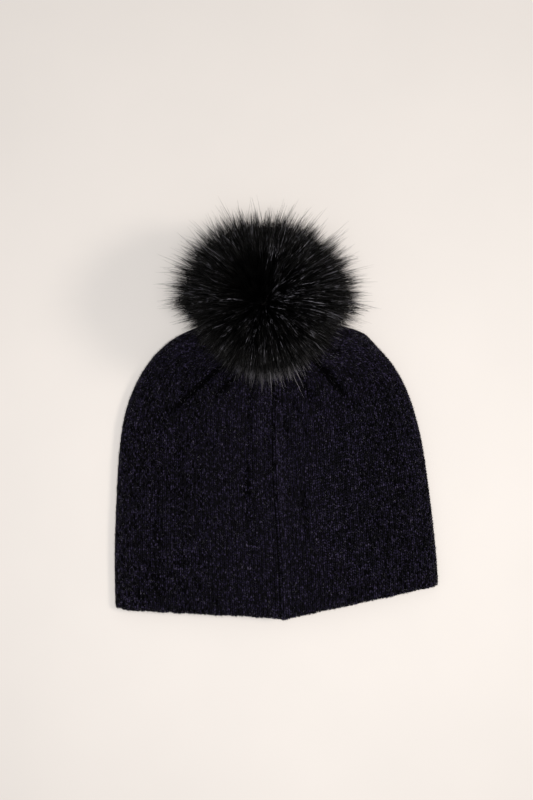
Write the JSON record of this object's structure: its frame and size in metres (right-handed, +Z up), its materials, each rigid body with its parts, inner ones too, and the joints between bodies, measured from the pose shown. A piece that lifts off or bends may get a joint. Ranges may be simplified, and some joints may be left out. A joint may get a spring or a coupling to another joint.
{
  "type": "pom pom beanie",
  "caption": "Fine-knit winter beanie lying flat, lined with fleece, gathered at the crown under a large faux-fur pom pom that presses on with a snap.",
  "frame": {"origin": "on the flat underside of the hat as it lies, 100 mm above the hem's lowest point", "axes": "+Y from the hem to the crown, +X to the right seen from above, +Z up from the surface it lies on"},
  "size_m": [0.2255, 0.2726, 0.1097],
  "materials": {
    "knit": "matte",
    "fleece": "matte",
    "sewing_thread": "matte",
    "label_tape": "satin",
    "felt": "matte",
    "snap_metal": "satin",
    "spring_steel": "satin",
    "stiff_disc": "matte",
    "fur_backing": "matte",
    "wadding": "matte",
    "faux_fur": "satin"
  },
  "bodies": {
    "hat": {"knit_shell": "knit", "fleece_lining": "fleece", "back_seam_thread": "sewing_thread", "hem_stitching": "sewing_thread", "care_label": "label_tape", "label_stitches": "sewing_thread"},
    "gather": {"gather_yarn": "knit"},
    "crown": {"crown_gather": "knit", "felt_patch": "felt", "socket_cap": "snap_metal", "snap_socket": "snap_metal"},
    "snap_ring": {"snap_spring": "spring_steel"},
    "pom": {"snap_stud": "snap_metal", "stud_rivet": "snap_metal", "pom_base_disc": "stiff_disc", "pom_skin": "fur_backing", "pom_drawstring": "sewing_thread", "pom_fill": "wadding", "pom_fur_pile": "faux_fur"}
  },
  "joints": [
    {"name": "pom_nod", "type": "hinge", "parent": "hat", "child": "gather", "pos_m": [-0.007, 0.092, 0.0198], "axis": [0.9914, 0.1305, 0], "range_deg": [0, 40], "stiffness_Nm_per_rad": 0.05},
    {"name": "pom_sway", "type": "hinge", "parent": "gather", "child": "crown", "pos_m": [-0.007, 0.092, 0.0198], "axis": [-0.1047, 0.7949, -0.5976], "range_deg": [-15, 15], "stiffness_Nm_per_rad": 0.05},
    {"name": "pom_spin", "type": "hinge", "parent": "crown", "child": "snap_ring", "pos_m": [-0.007, 0.092, 0.0198], "axis": [-0.078, 0.5925, 0.8018], "continuous": true},
    {"name": "pom_pull_off", "type": "slide", "parent": "snap_ring", "child": "pom", "axis": [-0.078, 0.5925, 0.8018], "range_m": [0, 0.06]}
  ]
}
